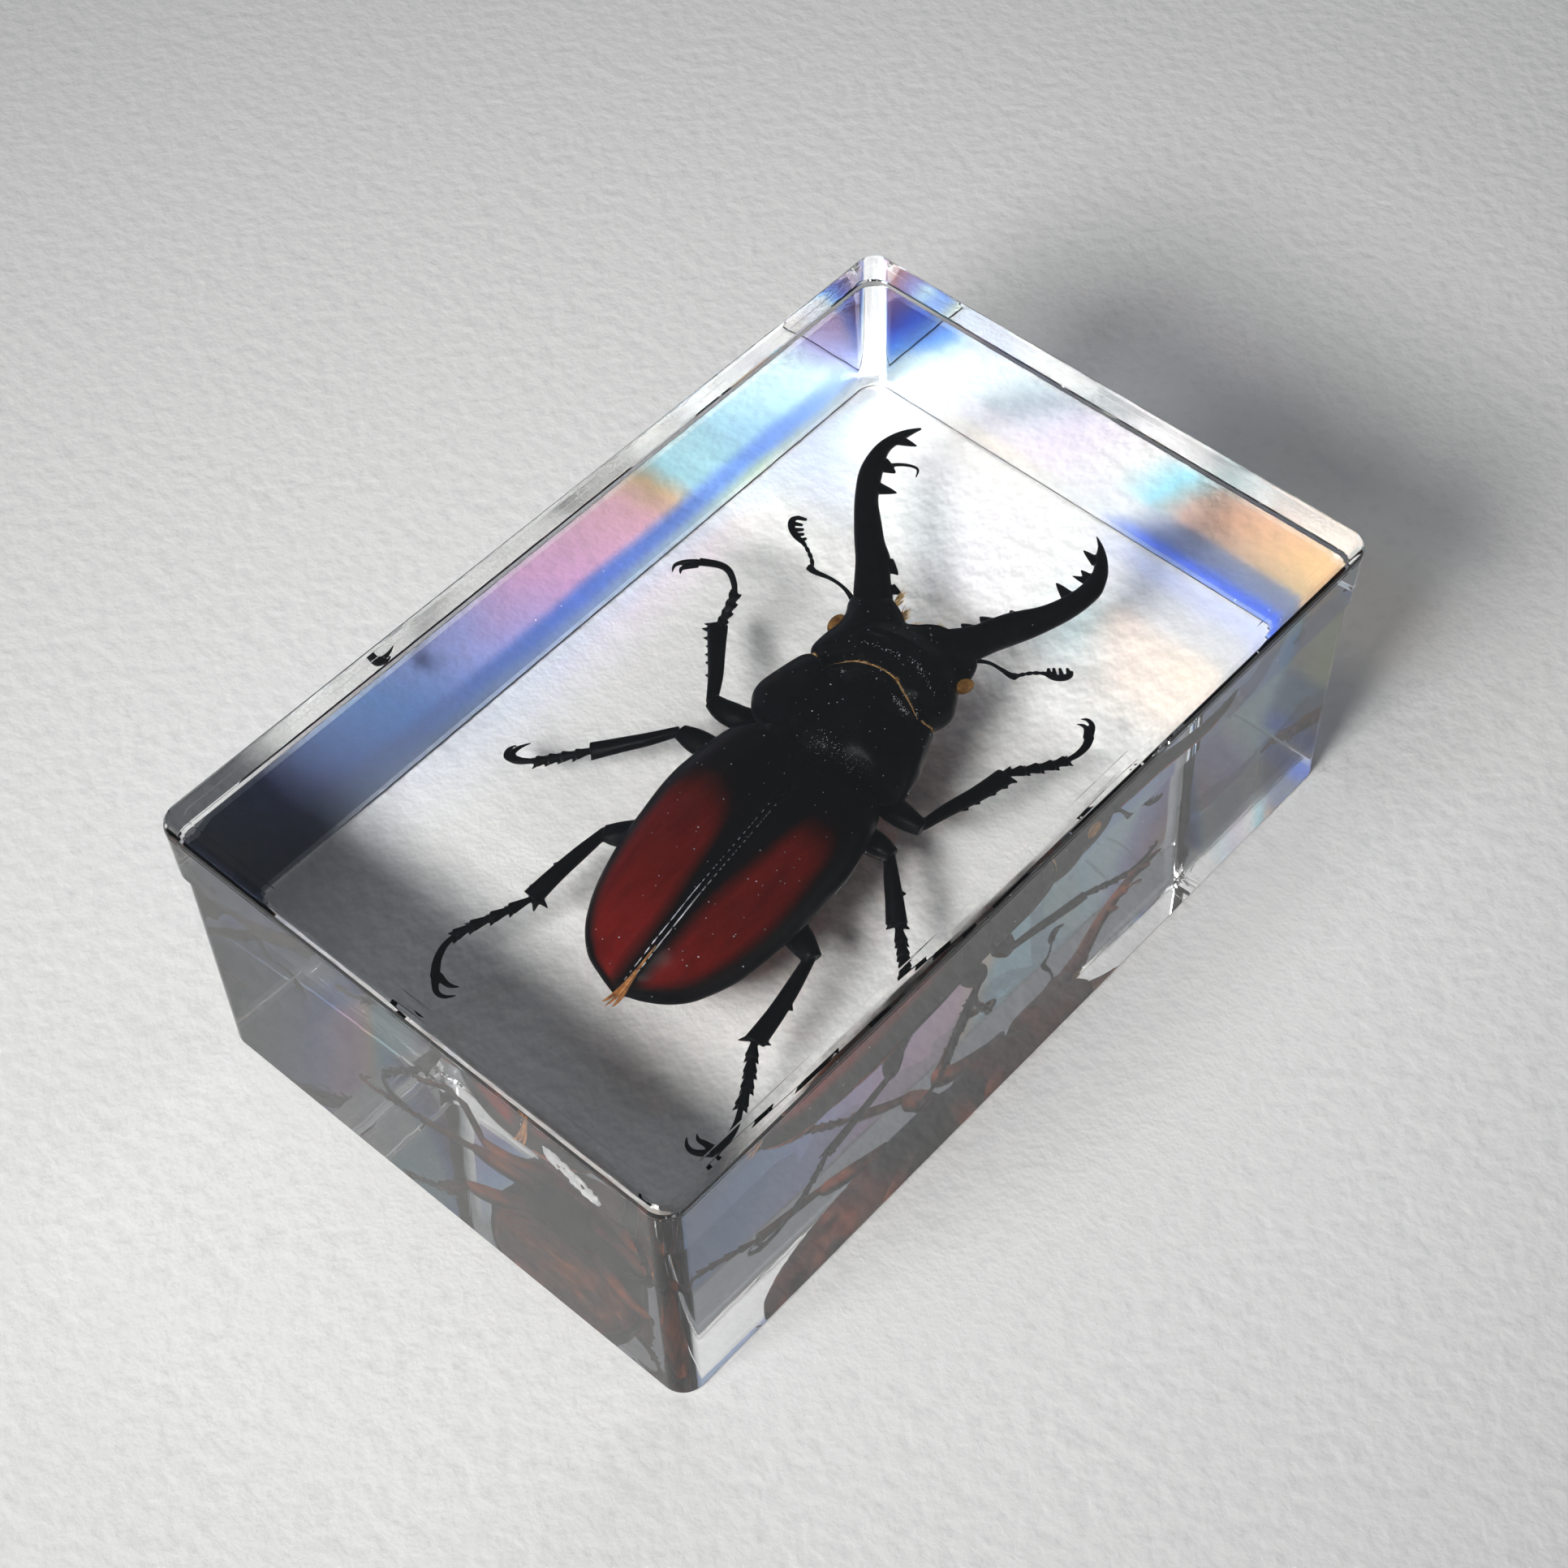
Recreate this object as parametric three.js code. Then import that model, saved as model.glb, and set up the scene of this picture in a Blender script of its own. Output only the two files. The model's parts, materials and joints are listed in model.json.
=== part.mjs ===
// Insect in resin block: the cast block itself, a clear rectangular slab with rounded upright corners
// and rounded-over top and bottom edges. The specimen is embedded in the solid resin, so the block is
// one closed body with no cavity.
// Millimetres, +Z up. The origin is at the centre of the underside. +X runs along the length.
import * as THREE from "three";

// Driving dimensions
const BLOCK_LENGTH = 110;
const BLOCK_WIDTH = 70.4;
const BLOCK_HEIGHT = 38.5;
const CORNER_RADIUS = 3;
const EDGE_RADIUS = 1.2;
const CORNER_SEGMENTS = 10;
const EDGE_SEGMENTS = 5;

const clearResin = new THREE.MeshStandardMaterial({
  name: "clear_resin",
  color: 0xe9eef0,
  roughness: 0.05,
  metalness: 0,
  transparent: true,
  opacity: 0.35,
});

// Rectangle centred on the origin, with an arc at each corner.
function roundedRectangle(length, width, radius) {
  const halfLength = length / 2;
  const halfWidth = width / 2;
  const outline = new THREE.Shape();
  outline.moveTo(-halfLength + radius, -halfWidth);
  outline.lineTo(halfLength - radius, -halfWidth);
  outline.absarc(halfLength - radius, -halfWidth + radius, radius, -Math.PI / 2, 0);
  outline.lineTo(halfLength, halfWidth - radius);
  outline.absarc(halfLength - radius, halfWidth - radius, radius, 0, Math.PI / 2);
  outline.lineTo(-halfLength + radius, halfWidth);
  outline.absarc(-halfLength + radius, halfWidth - radius, radius, Math.PI / 2, Math.PI);
  outline.lineTo(-halfLength, -halfWidth + radius);
  outline.absarc(-halfLength + radius, -halfWidth + radius, radius, Math.PI, 1.5 * Math.PI);
  return outline;
}

// The outline is extruded upwards. The bevel is an arc that leaves the full outline on the sides and
// draws it in by EDGE_RADIUS at the flat top and at the flat underside.
function makeResinBlock() {
  const outline = roundedRectangle(BLOCK_LENGTH, BLOCK_WIDTH, CORNER_RADIUS);
  const geometry = new THREE.ExtrudeGeometry(outline, {
    depth: BLOCK_HEIGHT - 2 * EDGE_RADIUS,
    curveSegments: CORNER_SEGMENTS,
    bevelEnabled: true,
    bevelThickness: EDGE_RADIUS,
    bevelSize: EDGE_RADIUS,
    bevelOffset: -EDGE_RADIUS,
    bevelSegments: EDGE_SEGMENTS,
  });
  const block = new THREE.Mesh(geometry, clearResin);
  block.name = "resin_block";
  block.position.z = EDGE_RADIUS;
  return block;
}

const part = new THREE.Group();
part.name = "insect_in_resin_block";
part.add(makeResinBlock());

export default part;
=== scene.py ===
"""Insect in resin block: a stag beetle sealed in a clear cast block.

Lengths are in millimetres, and MM turns them into Blender's metres. The block's frame is used throughout:
+X along the length, towards the mandibles, +Y towards the beetle's left, +Z up, origin under the middle.
"""
import math
import random

import bmesh
import bpy
from mathutils import Matrix, Vector, noise
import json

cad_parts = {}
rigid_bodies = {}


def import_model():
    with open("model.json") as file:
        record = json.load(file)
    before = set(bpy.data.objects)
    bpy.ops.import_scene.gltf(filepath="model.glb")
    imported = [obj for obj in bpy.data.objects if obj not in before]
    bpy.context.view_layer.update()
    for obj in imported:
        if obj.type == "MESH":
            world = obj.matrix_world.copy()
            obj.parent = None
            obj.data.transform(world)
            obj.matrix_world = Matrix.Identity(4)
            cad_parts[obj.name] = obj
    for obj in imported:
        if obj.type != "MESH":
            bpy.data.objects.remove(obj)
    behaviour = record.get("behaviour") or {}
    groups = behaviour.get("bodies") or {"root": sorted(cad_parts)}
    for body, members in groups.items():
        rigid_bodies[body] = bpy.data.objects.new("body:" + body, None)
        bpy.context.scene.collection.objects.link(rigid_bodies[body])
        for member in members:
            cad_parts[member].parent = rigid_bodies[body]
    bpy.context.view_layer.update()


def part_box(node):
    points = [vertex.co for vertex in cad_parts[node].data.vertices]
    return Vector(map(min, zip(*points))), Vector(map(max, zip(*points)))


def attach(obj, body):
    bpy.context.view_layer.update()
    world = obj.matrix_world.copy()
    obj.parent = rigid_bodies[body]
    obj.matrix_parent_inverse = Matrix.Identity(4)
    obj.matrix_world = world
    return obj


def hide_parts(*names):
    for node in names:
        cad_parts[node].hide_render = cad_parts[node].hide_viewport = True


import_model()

MM = 0.001
DOWN = Vector((0, 0, -1))
LOW, HIGH = ([axis / MM for axis in corner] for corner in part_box("resin_block"))
BLOCK_TOP = HIGH[2]
RESIN_IOR = 1.52
RESIN_TINT = (0.80, 0.90, 0.92, 1)
RESIN_DENSITY = 0.5

# The camera stands where the photograph was taken from: places in mm, lens and sensor in mm.
CAMERA_AT = Vector((-150.1, -141.4, 282.4))
CAMERA_AIM = Vector((11.3, 10.9, 0.0))
CAMERA_ROLL = math.radians(2.0)
CAMERA_LENS = 71.4
SENSOR_WIDTH = 36.0

# Plan positions of the beetle were read where its sight lines cross this level plane in the resin.
READING_PLANE = 19.0


# ---------------------------------------------------------------- numbers and curves

def seen(x, y, z):
    """The point at height z on the sight line that crosses the reading plane at (x, y)."""
    here = Vector((x, y))
    away = (here - CAMERA_AT.xy).normalized()
    slope = 0.4
    for _ in range(12):
        top = here - away * slope * (BLOCK_TOP - READING_PLANE)
        run = (top - CAMERA_AT.xy).length
        inside = run / math.hypot(run, CAMERA_AT.z - BLOCK_TOP) / RESIN_IOR
        slope = inside / math.sqrt(1 - inside * inside)
    plan = here + away * slope * (READING_PLANE - z)
    return Vector((plan.x, plan.y, z))


def smooth(edge0, edge1, value):
    """0 at edge0, 1 at edge1, and an S-curve between."""
    t = min(max((value - edge0) / (edge1 - edge0), 0.0), 1.0)
    return t * t * (3 - 2 * t)


def bump(value, centre, width):
    """A soft hill of height 1."""
    return math.exp(-(((value - centre) / width) ** 2))


def along(stations, x):
    """A smooth curve through (x, value) stations, without overshoot."""
    xs = [s[0] for s in stations]
    ys = [s[1] for s in stations]
    if x <= xs[0]:
        return ys[0]
    if x >= xs[-1]:
        return ys[-1]
    slopes = [(ys[i + 1] - ys[i]) / (xs[i + 1] - xs[i]) for i in range(len(xs) - 1)]
    tangents = [slopes[0]] + [0.0] * (len(xs) - 2) + [slopes[-1]]
    for i in range(1, len(xs) - 1):
        if slopes[i - 1] * slopes[i] > 0:
            tangents[i] = 2 / (1 / slopes[i - 1] + 1 / slopes[i])
    i = max(k for k in range(len(xs) - 1) if xs[k] <= x)
    step = xs[i + 1] - xs[i]
    t = (x - xs[i]) / step
    start = (1 + 2 * t) * (1 - t) ** 2 * ys[i] + t * (1 - t) ** 2 * step * tangents[i]
    end = t * t * (3 - 2 * t) * ys[i + 1] + t * t * (t - 1) * step * tangents[i + 1]
    return start + end


def catmull(a, b, c, d, t):
    """The point at t between b and c."""
    bend = 2 * a - 5 * b + 4 * c - d
    return 0.5 * (2 * b + (c - a) * t + bend * t * t + (3 * b - a - 3 * c + d) * t ** 3)


def spline(points, steps, closed=False):
    """Points along a smooth curve through the given points, which may carry extra numbers."""
    points = [tuple(p) for p in points]
    count = len(points)
    out = []
    for k in range(count if closed else count - 1):
        if closed:
            four = [points[(k + j) % count] for j in (-1, 0, 1, 2)]
        else:
            four = [points[min(max(k + j, 0), count - 1)] for j in (-1, 0, 1, 2)]
        for j in range(steps):
            out.append(tuple(catmull(a, b, c, d, j / steps) for a, b, c, d in zip(*four)))
    if not closed:
        out.append(points[-1])
    return out


def read_path(points):
    """Read plan points with a height, and perhaps sizes, as points in the block."""
    return [(*seen(*p[:3]), *p[3:]) for p in points]


def read_outline(points, z):
    """Read plan points of one height as (x, y) pairs."""
    return [tuple(seen(x, y, z).xy) for x, y in points]


# ---------------------------------------------------------------- mesh helpers

class Shape:
    """A growing list of vertices and faces, in millimetres."""

    def __init__(self):
        self.verts = []
        self.faces = []

    def add(self, verts, faces):
        start = len(self.verts)
        self.verts.extend(Vector(v) for v in verts)
        self.faces.extend([start + i for i in face] for face in faces)
        return self

    def rings(self, rings):
        """A closed skin through rings of points, with a fan at each end."""
        count = len(rings[0])
        verts = [p for ring in rings for p in ring]
        faces = []
        for r in range(len(rings) - 1):
            for i in range(count):
                j = (i + 1) % count
                faces.append((r * count + i, r * count + j, (r + 1) * count + j, (r + 1) * count + i))
        for r, step in ((0, -1), (len(rings) - 1, 1)):
            verts.append(sum((Vector(p) for p in rings[r]), Vector()) / count)
            hub = len(verts) - 1
            for i in range(count):
                pair = (r * count + i, r * count + (i + 1) % count)
                faces.append((hub, *pair[::step]))
        return self.add(verts, faces)

    def tube(self, path, sides=12, steps=5):
        """A tube along (x, y, z, width, thickness) stations; the width is level."""
        stations = spline(path, steps)
        rings = []
        for k, (x, y, z, width, thickness) in enumerate(stations):
            before = Vector(stations[max(k - 1, 0)][:3])
            after = Vector(stations[min(k + 1, len(stations) - 1)][:3])
            forward = (after - before).normalized()
            across = forward.cross(Vector((0, 0, 1)))
            across = across.normalized() if across.length > 0.01 else Vector((0, 1, 0))
            up = across.cross(forward)
            ring = []
            for i in range(sides):
                a = 2 * math.pi * i / sides
                out = across * math.cos(a) * width / 2
                ring.append(Vector((x, y, z)) + out + up * math.sin(a) * thickness / 2)
            rings.append(ring)
        return self.rings(rings)

    def spike(self, base, tip, width, bend=(0, 0, 0), sides=8):
        """A curved thorn that narrows from its base to its tip."""
        base, tip, bend = Vector(base), Vector(tip), Vector(bend)
        path = []
        for t, share in ((0.0, 1.0), (0.35, 0.74), (0.7, 0.44), (1.0, 0.1)):
            p = base.lerp(tip, t) + bend * 4 * t * (1 - t)
            path.append((*p, width * share, width * share))
        return self.tube(path, sides=sides, steps=3)

    def ball(self, centre, radii, turn=0.0, rings=12, sides=20):
        """An ellipsoid, turned about the vertical."""
        spin = Matrix.Rotation(turn, 3, "Z")
        layers = []
        for k in range(1, rings):
            lat = math.pi * k / rings
            layer = []
            for i in range(sides):
                a = 2 * math.pi * i / sides
                share = (math.sin(lat) * math.cos(a), math.sin(lat) * math.sin(a), math.cos(lat))
                layer.append(Vector(centre) + spin @ Vector(r * p for r, p in zip(radii, share)))
            layers.append(layer)
        self.rings(layers)
        for end, sign in ((-2, 1), (-1, -1)):
            self.verts[end] = Vector(centre) + Vector((0, 0, radii[2] * sign))
        return self


def band(shape, outer, inner, stations, sides=20, count=40):
    """A rounded bar between two plan edges. stations are (share of the length, height, thickness)."""
    squareness = 2.4
    outer = even(spline(outer, 8), count)
    inner = even(spline(inner, 8), count)
    rings = []
    for k, (a, b) in enumerate(zip(outer, inner)):
        share = k / (count - 1)
        height = along([(s[0], s[1]) for s in stations], share)
        thick = along([(s[0], s[2]) for s in stations], share)
        a, b = seen(a[0], a[1], height), seen(b[0], b[1], height)
        middle, half = (a + b) / 2, (a - b) / 2
        ring = []
        for i in range(sides):
            angle = 2 * math.pi * i / sides
            out, up = math.cos(angle), math.sin(angle)
            fullness = (abs(out) ** squareness + abs(up) ** squareness) ** (-1 / squareness)
            ring.append(middle + half * out * fullness + Vector((0, 0, thick / 2 * up * fullness)))
        rings.append(ring)
    return shape.rings(rings)


def even(points, count):
    """Points spaced evenly along a line."""
    lengths = [0.0]
    for a, b in zip(points, points[1:]):
        lengths.append(lengths[-1] + math.dist(a, b))
    out = []
    for k in range(count):
        goal = lengths[-1] * k / (count - 1)
        i = max(j for j in range(len(lengths) - 1) if lengths[j] <= goal)
        t = (goal - lengths[i]) / (lengths[i + 1] - lengths[i])
        out.append(tuple(a + (b - a) * t for a, b in zip(points[i], points[i + 1])))
    return out


def cushion(outline, centre, top, bottom, rings=26, steps=8):
    """A closed dome over a plan outline. top and bottom give heights from (x, y, share of the way out)."""
    rim = spline(outline, steps, closed=True)
    count = len(rim)
    shape = Shape()
    verts, faces = [], []
    for side in (top, bottom):
        verts.append((*centre, side(*centre, 0.0)))
        for k in range(1, rings + 1):
            share = math.sin(math.pi / 2 * k / rings)
            for px, py in rim:
                x = centre[0] + (px - centre[0]) * share
                y = centre[1] + (py - centre[1]) * share
                verts.append((x, y, side(x, y, share)))
    half = 1 + rings * count
    for start, flip in ((0, 1), (half, -1)):
        for i in range(count):
            j = (i + 1) % count
            faces.append((start, start + 1 + i, start + 1 + j)[::flip])
            for k in range(rings - 1):
                a, b = start + 1 + k * count, start + 1 + (k + 1) * count
                faces.append((a + i, b + i, b + j, a + j)[::flip])
    outer = 1 + (rings - 1) * count
    for i in range(count):
        j = (i + 1) % count
        faces.append((outer + i, half + outer + i, half + outer + j, outer + j))
    return shape.add(verts, faces)


def sheet(place, over, under, across, length):
    """A closed plate over a grid. s runs from back to front and t from the middle out, 0 to 1."""
    shape = Shape()
    index = {}
    for side, height in ((0, over), (1, under)):
        for i in range(length + 1):
            for j in range(across + 1):
                if side and (i in (0, length) or j in (0, across)):
                    index[1, i, j] = index[0, i, j]
                    continue
                s = (1 - math.cos(math.pi * i / length)) / 2
                t = (1 - math.cos(math.pi * j / across)) / 2
                x, y = place(s, t)
                index[side, i, j] = len(shape.verts)
                shape.verts.append(Vector((x, y, height(x, t))))
    for side in (0, 1):
        for i in range(length):
            for j in range(across):
                corners = ((i, j), (i + 1, j), (i + 1, j + 1), (i, j + 1))
                shape.faces.append([index[side, a, b] for a, b in corners][:: 1 if side else -1])
    return shape


def build(name, shape, material, marks=None):
    """Writes a shape as a smooth mesh object in metres that rides on the block.

    marks is a name and a rule for a number from 0 to 1 at each vertex, which the material reads.
    """
    mesh = bpy.data.meshes.new(name)
    mesh.from_pydata([v * MM for v in shape.verts], [], shape.faces)
    tidy = bmesh.new()
    tidy.from_mesh(mesh)
    bmesh.ops.remove_doubles(tidy, verts=tidy.verts, dist=0.0005 * MM)
    bmesh.ops.recalc_face_normals(tidy, faces=tidy.faces)
    tidy.to_mesh(mesh)
    tidy.free()
    mesh.materials.append(material)
    mesh.shade_smooth()
    piece = bpy.data.objects.new(name, mesh)
    bpy.context.scene.collection.objects.link(piece)
    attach(piece, "root")
    if marks:
        mark(piece, *marks)
    return piece


def mark(piece, name, rule):
    """Stores a number from 0 to 1 at each vertex, by a rule from its place in mm and its normal."""
    layer = piece.data.attributes.new(name, "FLOAT", "POINT")
    for vertex, value in zip(piece.data.vertices, layer.data):
        value.value = rule(vertex.co / MM, vertex.normal)


LIMB_VOXEL = 0.12
FINE_VOXEL = 0.09


def fuse(piece, voxel, smoothing=2):
    """Joins the overlapping parts of a piece into one skin, with softened joints."""
    join = piece.modifiers.new("join", "REMESH")
    join.mode = "VOXEL"
    join.voxel_size = voxel * MM
    soften = piece.modifiers.new("soften", "SMOOTH")
    soften.factor = 0.5
    soften.iterations = smoothing
    evaluated = piece.evaluated_get(bpy.context.evaluated_depsgraph_get())
    mesh = bpy.data.meshes.new_from_object(evaluated)
    old = piece.data
    piece.modifiers.clear()
    piece.data = mesh
    mesh.name = old.name
    bpy.data.meshes.remove(old)
    mesh.shade_smooth()
    return piece


# ---------------------------------------------------------------- materials

def new_material(name):
    """A material, its node tree and its Principled shader."""
    material = bpy.data.materials.new(name)
    material.use_nodes = True
    return material, material.node_tree, material.node_tree.nodes["Principled BSDF"]


def fill_in(tree, made, inputs):
    """Sets each input of a node, by name or number, to a value, or links it to a socket."""
    for key, value in dict(inputs).items():
        if isinstance(value, bpy.types.NodeSocket):
            tree.links.new(value, made.inputs[key])
        else:
            made.inputs[key].default_value = value


def node(tree, kind, inputs=(), **settings):
    made = tree.nodes.new("ShaderNode" + kind)
    for key, value in settings.items():
        setattr(made, key, value)
    fill_in(tree, made, inputs)
    return made


def object_space(tree):
    return node(tree, "TexCoord").outputs["Object"]


def noise_node(tree, scale, detail=3.0, place=None):
    """Noise in the object's own space, with its scale in waves per metre."""
    inputs = {"Scale": scale, "Detail": detail, "Vector": place or object_space(tree)}
    return node(tree, "TexNoise", inputs).outputs["Fac"]


def math_node(tree, operation, *values):
    return node(tree, "Math", enumerate(values), operation=operation).outputs[0]


def span_node(tree, value, start, end, first=0.0, last=1.0, kind="LINEAR"):
    """Turns start..end into first..last, and holds these beyond."""
    inputs = {"Value": value, "From Min": start, "From Max": end, "To Min": first, "To Max": last}
    return node(tree, "MapRange", inputs, interpolation_type=kind).outputs["Result"]


def ramp_node(tree, source, stops):
    """A colour ramp through (position, colour) stops."""
    ramp = node(tree, "ValToRGB", {"Fac": source})
    elements = ramp.color_ramp.elements
    while len(elements) < len(stops):
        elements.new(0.5)
    for element, (position, colour) in zip(elements, stops):
        element.position = position
        element.color = (*colour, 1)
    return ramp.outputs["Color"]


def bump_node(tree, height, depth, over=None):
    """A normal with unevenness of the given depth in millimetres, over another normal if there is one."""
    made = node(tree, "Bump", {"Distance": depth * MM, "Height": height})
    if over:
        fill_in(tree, made, {"Normal": over})
    return made.outputs["Normal"]


def mix_node(tree, share, first, second):
    """A colour between two, by share. A colour is a tuple or a socket."""
    mix = node(tree, "Mix", data_type="RGBA")
    sockets = [s for s in mix.inputs if s.type == "RGBA"]
    for socket, colour in zip(sockets, (first, second)):
        if isinstance(colour, tuple):
            socket.default_value = (*colour, 1)
        else:
            tree.links.new(colour, socket)
    fill_in(tree, mix, {"Factor": share})
    return [s for s in mix.outputs if s.type == "RGBA"][0]


def mark_node(tree, name):
    """The number that mark() stored under this name."""
    return node(tree, "Attribute", attribute_name=name).outputs["Fac"]


def pitted(tree, scale, depth, fine_depth):
    """A normal with small round pits over a finer grain."""
    fine = bump_node(tree, noise_node(tree, scale * 3.0), fine_depth)
    pits = node(tree, "TexVoronoi", {"Scale": scale, "Vector": object_space(tree)})
    edge = span_node(tree, pits.outputs["Distance"], 0.0, 0.35)
    return bump_node(tree, edge, depth, over=fine)


CUTICLE_GLOSS = {"Roughness": 0.30, "IOR": 1.5, "Specular IOR Level": 0.06}
CHITIN_DARK = (0.0008, 0.0009, 0.0014)
CHITIN_PALE = (0.0030, 0.0034, 0.0050)
WARM_DARK = (0.085, 0.017, 0.010)
WARM_PALE = (0.42, 0.105, 0.048)


def chitin_material():
    """Black cuticle that turns red-brown where the mark called warm is high."""
    material, tree, shader = new_material("black_chitin")
    black = ramp_node(tree, noise_node(tree, 700), [(0.35, CHITIN_DARK), (0.7, CHITIN_PALE)])
    warm = ramp_node(tree, noise_node(tree, 420), [(0.4, WARM_DARK), (0.62, WARM_PALE)])
    colour = mix_node(tree, mark_node(tree, "warm"), black, warm)
    fill_in(tree, shader, CUTICLE_GLOSS)
    fill_in(tree, shader, {"Base Color": colour, "Normal": pitted(tree, 2600, 0.006, 0.005)})
    return material


def elytra_material():
    """Dark red cuticle with fine lengthwise streaks, black where the mark called red is low."""
    material, tree, shader = new_material("red_elytra")
    long = node(tree, "Mapping", {"Vector": object_space(tree), "Scale": (0.25, 1.0, 1.0)})
    streaks = noise_node(tree, 520, 5.0, long.outputs["Vector"])
    red = math_node(tree, "MULTIPLY_ADD", streaks, 0.36, mark_node(tree, "red"))
    stops = [
        (0.16, (0.0018, 0.0020, 0.0026)), (0.36, (0.0080, 0.0014, 0.0016)),
        (0.62, (0.044, 0.0026, 0.0022)), (0.94, (0.112, 0.0048, 0.0036)), (1.0, (0.160, 0.0078, 0.0054)),
    ]
    colour = ramp_node(tree, span_node(tree, red, 0.0, 1.2), stops)
    fill_in(tree, shader, CUTICLE_GLOSS)
    fill_in(tree, shader, {"Base Color": colour, "Normal": pitted(tree, 3200, 0.004, 0.003)})
    return material


def toned_material(name, dark, pale, scale, roughness, specular, depth):
    """Two tones that wander into each other, over a fine grain."""
    material, tree, shader = new_material(name)
    colour = ramp_node(tree, noise_node(tree, scale), [(0.35, dark), (0.65, pale)])
    grain = bump_node(tree, noise_node(tree, scale * 3), depth)
    fill_in(tree, shader, {"Base Color": colour, "Normal": grain})
    fill_in(tree, shader, {"Roughness": roughness, "Specular IOR Level": specular})
    return material


# ---------------------------------------------------------------- beetle: body

EDGE_LEVEL = 17.6
BEAD_RISE = 0.16
SUTURE_GROOVE = 0.4
SUTURE = [
    (-35, -9, 17.7), (-33.6, -8.7, 19.9), (-31, -8.2, 21.9),
    (-27, -7.5, 23.4), (-20, -6.4, 24.4), (-12, -5.4, 24.8), (-1, -4, 24.2),
]
LEFT_ELYTRON = [
    (-35, -8.4), (-34.5, -6.5), (-33.3, -3.3), (-30, 0), (-25, 2.5),
    (-18.5, 4.4), (-10, 5.75), (-4.5, 5.4), (-2.8, 5), (-1.2, 3.6),
]
RIGHT_ELYTRON = [
    (-34.5, -9.5), (-33.9, -11.2), (-32, -14), (-30, -15.5), (-25, -17.1),
    (-18, -17.6), (-10, -17.1), (-5.6, -16), (-1.6, -14.5), (-0.2, -13.4),
]
PRONOTUM = [
    (10.1, 5.1), (9.4, 3.5), (10.3, 1.8), (11.5, 0), (12.3, -2.6), (12.3, -4.5), (11.6, -6.6),
    (10.6, -9.2), (10, -10.6), (10.7, -11.5), (9.8, -12), (7, -13.3), (5, -14.1), (3.2, -14.6),
    (1.6, -14.5), (0.2, -13), (-0.8, -9), (-1.2, -4), (-0.8, 1.5), (0.3, 4.7),
    (1.7, 6.2), (3.2, 6.85), (5.2, 6.75), (8, 6.3), (9.5, 5.9),
]
PRONOTUM_FRONT = PRONOTUM[:10]
HEAD = [
    (9.5, 3.2), (10.4, 5.2), (11.2, 6.05), (13, 6.2), (15.2, 6.1), (17.1, 6.4), (18.6, 7.25), (19.7, 7.3),
    (21.2, 6.2), (22, 4.5), (21.7, 3), (20.9, 1.4), (20.1, 0.2), (20.4, -1), (21.3, -1.9),
    (22, -3.2), (22.3, -5.5), (21.9, -7.8), (21, -9), (19.3, -9.6), (17, -9.9), (15.5, -10.8),
    (13.7, -11.6), (11.8, -11.4), (10.4, -10.4), (9.6, -8), (10.5, -2.5),
]
SCUTELLUM = [(-4.6, -4.7), (-3.6, -3.4), (-2, -2.2), (-0.8, -1.9), (-0.8, -6.3), (-2, -6.4), (-3.6, -5.8)]
NECK = [(-5, 6.5), (-1, 7), (3, 6.5), (6, 4.5), (6, -4.5), (3, -6.5), (-1, -7), (-5, -6.5)]
BODY_LEVEL = 18.0
BACK_RISE = 6.2
BACK_DEPTH = 5.0
HEAD_RISE = 4.7
HEAD_DEPTH = 4.4
PLATE_LEVEL = 24.15
NECK_RADIUS = 4.6
EYE_LEVEL = 18.7


def suture():
    """The ridge where the wing cases meet, as (x, y) and as (x, z) stations."""
    ridge = read_path(SUTURE)
    return [(x, y) for x, y, z in ridge], [(x, z) for x, y, z in ridge]


def dome(share, power):
    """Height of a rounded profile, 1 in the middle and 0 at the rim."""
    return math.sqrt(max(1 - share ** power, 0.0))


def elytra():
    """The two wing cases, which meet along the suture."""
    ridge_y, ridge_z = suture()
    for name, points, side in (("left_elytron", LEFT_ELYTRON, 1), ("right_elytron", RIGHT_ELYTRON, -1)):
        edge = read_outline(points, EDGE_LEVEL)
        tail = edge[0][0]
        front = (ridge_y[-1][0], edge[-1][0])

        def place(s, t):
            x = tail + (front[0] + (front[1] - front[0]) * t - tail) * s
            inner = along(ridge_y, x) + 0.03 * side
            return x, inner + (along(edge, x) - inner) * t

        def over(x, t):
            width = abs(along(edge, x) - along(ridge_y, x)) * t
            rise = (along(ridge_z, x) - EDGE_LEVEL) * dome(t, 2.5)
            bead = BEAD_RISE * bump(width, 0.36, 0.17) - SUTURE_GROOVE * smooth(0.16, 0.0, width)
            return EDGE_LEVEL + rise + bead * smooth(0.0, 2.0, rise)

        def under(x, t):
            return EDGE_LEVEL - 0.3 * math.sin(math.pi * t)

        red_front = -6.5 if side > 0 else -4.0

        def redness(at, normal):
            """Red in the middle of the wing case, black along its edges and over its front."""
            from_edge = abs(at.y - along(edge, at.x))
            from_suture = abs(at.y - along(ridge_y, at.x))
            across = from_suture / max(from_edge + from_suture, 0.1)
            margin = 0.3 + 0.8 * smooth(-24.0, -8.0, at.x)
            black = 0.2 + 1.9 * smooth(-27.0, -8.0, at.x)
            reach = red_front - 20 * (across - 0.62) ** 2 - at.x
            inside = smooth(margin - 0.2, margin + 1.7, from_edge)
            inside *= smooth(black - 0.2, black + 2.3, from_suture)
            return inside * smooth(0.0, 7.5, reach) * smooth(-0.2, 0.4, normal.z)

        build(name, sheet(place, over, under, 36, 84), ELYTRA, ("red", redness))


BELLY_JOINTS = (-31.5, -28.5, -25.3, -21.8, -18.0, -13.5)
BELLY_DEPTHS = [(-34.0, 0.6), (-31.0, 2.6), (-24.0, 4.2), (-12.0, 5.0), (2.0, 4.8)]


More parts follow.
